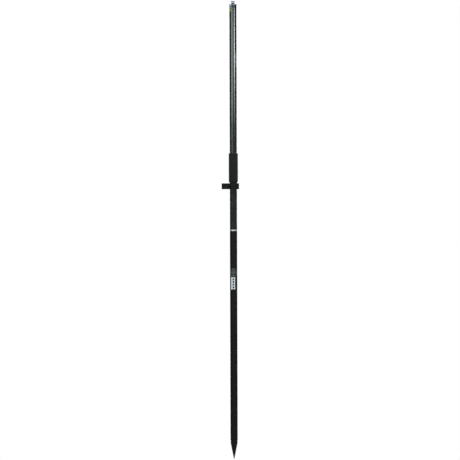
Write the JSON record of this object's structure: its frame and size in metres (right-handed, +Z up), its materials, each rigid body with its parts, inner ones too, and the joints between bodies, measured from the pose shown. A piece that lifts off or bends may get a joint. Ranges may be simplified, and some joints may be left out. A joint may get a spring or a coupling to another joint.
{
  "type": "gnss rover pole",
  "caption": "Two-piece carbon survey pole for a GNSS receiver, with screw joint, foam grip, clamp-on circular level, pointed foot and threaded antenna stud.",
  "frame": {"origin": "tip of the ground point, on the pole's axis", "axes": "+Z up the pole, the level's arm towards -X, the clamp screw behind the pole at +Y, the front faces -Y"},
  "size_m": [0.0765, 0.0608, 2.015],
  "materials": {
    "carbon_gloss": "clear-coated carbon fibre",
    "carbon_matte": "satin black carbon fibre",
    "bare_aluminium": "fine turned",
    "black_anodised": "satin black anodising",
    "steel": "turned stainless",
    "dark_steel": "black oxide",
    "foam_rubber": "matt foam rubber",
    "black_nylon": "moulded",
    "knob_plastic": "fine spark texture",
    "label_vinyl": "yellow-green vinyl",
    "brass": "turned",
    "white_enamel": "white",
    "acrylic": "clear polished",
    "liquid": "yellow-green spirit",
    "air": "bubble",
    "print_black": "printed"
  },
  "bodies": {
    "lower_section": {"lower_tube": "carbon_matte", "lower_ferrule": "black_anodised", "point_socket": "black_anodised"},
    "joint_washer": {"joint_washer": "black_nylon"},
    "upper_section": {"upper_tube": "carbon_gloss", "upper_ferrule": "bare_aluminium", "joint_stud": "steel", "joint_stud_pin": "steel", "top_plug": "black_anodised", "top_stud": "steel", "top_stud_pin": "steel", "hand_grip": "foam_rubber", "top_label": "label_vinyl"},
    "level_liner": {"clamp_liner": "black_nylon"},
    "level_bracket": {"clamp_body": "black_anodised", "clamp_nut": "dark_steel", "retaining_ring": "black_anodised"},
    "clamp_washer": {"clamp_washer": "steel"},
    "clamp_knob": {"clamp_screw": "steel", "clamp_knob": "knob_plastic"},
    "adjusting_screw_a": {"adjusting_screw_a": "dark_steel"},
    "adjusting_screw_b": {"adjusting_screw_b": "dark_steel"},
    "adjusting_screw_c": {"adjusting_screw_c": "dark_steel"},
    "vial_seat": {"wave_spring": "steel"},
    "vial": {"vial_case": "black_anodised", "vial_backing": "white_enamel", "vial_capsule": "acrylic", "filler_plug": "brass", "vial_liquid": "liquid", "target_circle": "print_black"},
    "bubble": {"vial_bubble": "air"},
    "point_washer": {"point_washer": "black_nylon"},
    "point": {"point_body": "black_anodised", "point_stud": "steel", "point_tip": "dark_steel"}
  },
  "joints": [
    {"name": "section_rise", "type": "slide", "parent": "lower_section", "child": "joint_washer", "axis": [0, 0, 1], "range_m": [0, 0.02309]},
    {"name": "section_turn", "type": "hinge", "parent": "joint_washer", "child": "upper_section", "pos_m": [0, 0, 1.0015], "axis": [0, 0, 1], "range_deg": [0, 3600]},
    {"name": "level_slide", "type": "slide", "parent": "upper_section", "child": "level_liner", "axis": [0, 0, 1], "range_m": [-0.175, 0]},
    {"name": "level_swing", "type": "hinge", "parent": "level_liner", "child": "level_bracket", "pos_m": [0, 0, 1.199], "axis": [0, 0, 1], "continuous": true},
    {"name": "clamp_ease", "type": "slide", "parent": "level_bracket", "child": "clamp_washer", "axis": [1, 0, 0], "range_m": [0, 0.004]},
    {"name": "clamp_turn", "type": "hinge", "parent": "clamp_washer", "child": "clamp_knob", "pos_m": [0.012, 0.03, 1.199], "axis": [1, 0, 0], "range_deg": [0, 1440]},
    {"name": "adjust_a_turn", "type": "hinge", "parent": "level_bracket", "child": "adjusting_screw_a", "pos_m": [-0.04375, 0, 1.1915], "axis": [0, 0, 1], "range_deg": [-180, 180]},
    {"name": "adjust_b_turn", "type": "hinge", "parent": "level_bracket", "child": "adjusting_screw_b", "pos_m": [-0.0295, 0.00823, 1.1915], "axis": [0, 0, 1], "range_deg": [-105, 105]},
    {"name": "adjust_c_turn", "type": "hinge", "parent": "level_bracket", "child": "adjusting_screw_c", "pos_m": [-0.0295, -0.00823, 1.1915], "axis": [0, 0, 1], "range_deg": [-105, 105]},
    {"name": "level_tilt_y", "type": "hinge", "parent": "level_bracket", "child": "vial_seat", "pos_m": [-0.03425, 0, 1.2], "axis": [0, 1, 0], "range_deg": [-1, 1]},
    {"name": "level_tilt_x", "type": "hinge", "parent": "vial_seat", "child": "vial", "pos_m": [-0.03425, 0, 1.2], "axis": [1, 0, 0], "range_deg": [-1.02, 1.02]},
    {"name": "bubble_run", "type": "slide", "parent": "vial", "child": "bubble", "axis": [1, 0, 0], "range_m": [-0.003, 0.003]},
    {"name": "point_drop", "type": "slide", "parent": "lower_section", "child": "point_washer", "axis": [0, 0, -1], "range_m": [0, 0.01847]},
    {"name": "point_turn", "type": "hinge", "parent": "point_washer", "child": "point", "pos_m": [0, 0, 0.078], "axis": [0, 0, -1], "range_deg": [0, 2880]}
  ],
  "couplings": [
    {"joint": "section_turn", "follows": "section_rise", "rad_per_m": 2721.1},
    {"joint": "clamp_turn", "follows": "clamp_ease", "rad_per_m": 6283.2},
    {"joint": "point_turn", "follows": "point_drop", "rad_per_m": 2721.1},
    {"joint": "adjust_a_turn", "follows": "level_tilt_y", "ratio": 179.07},
    {"joint": "adjust_b_turn", "follows": "level_tilt_x", "ratio": 103.39},
    {"joint": "adjust_c_turn", "follows": "level_tilt_x", "ratio": -103.39}
  ]
}
